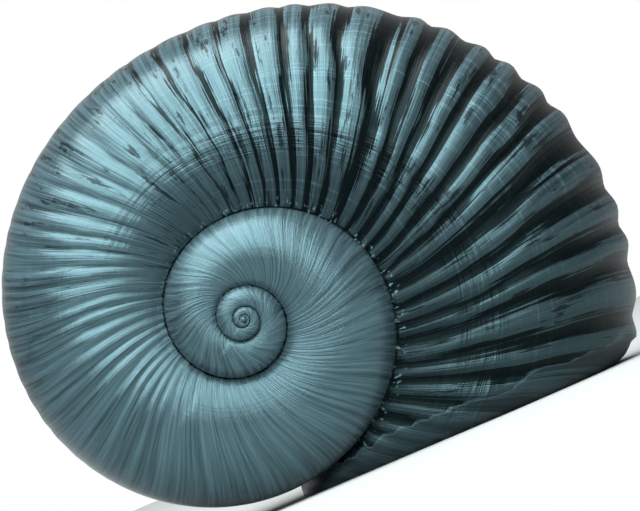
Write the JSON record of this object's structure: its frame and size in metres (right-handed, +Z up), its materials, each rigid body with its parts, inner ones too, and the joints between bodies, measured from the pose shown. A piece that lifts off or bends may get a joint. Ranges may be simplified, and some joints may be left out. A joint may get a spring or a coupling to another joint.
{
  "type": "sea snail shell",
  "caption": "Coiled sea-snail shell with a low spire, deep seams between the whorls, slanting ribs on the last whorl and an open mouth that it rests on.",
  "frame": {"origin": "middle of the bounding box, in the plane of the mouth's rim that the shell rests on", "axes": "+Z up from the rim, -Y along the coil axis towards the apex, +X towards the outer lip"},
  "size_m": [0.0622, 0.0363, 0.0482],
  "materials": {
    "shell": "glossy, grey-blue, with dark grooves between the ribs"
  },
  "bodies": {
    "root": {"shell": "shell"}
  },
  "joints": []
}
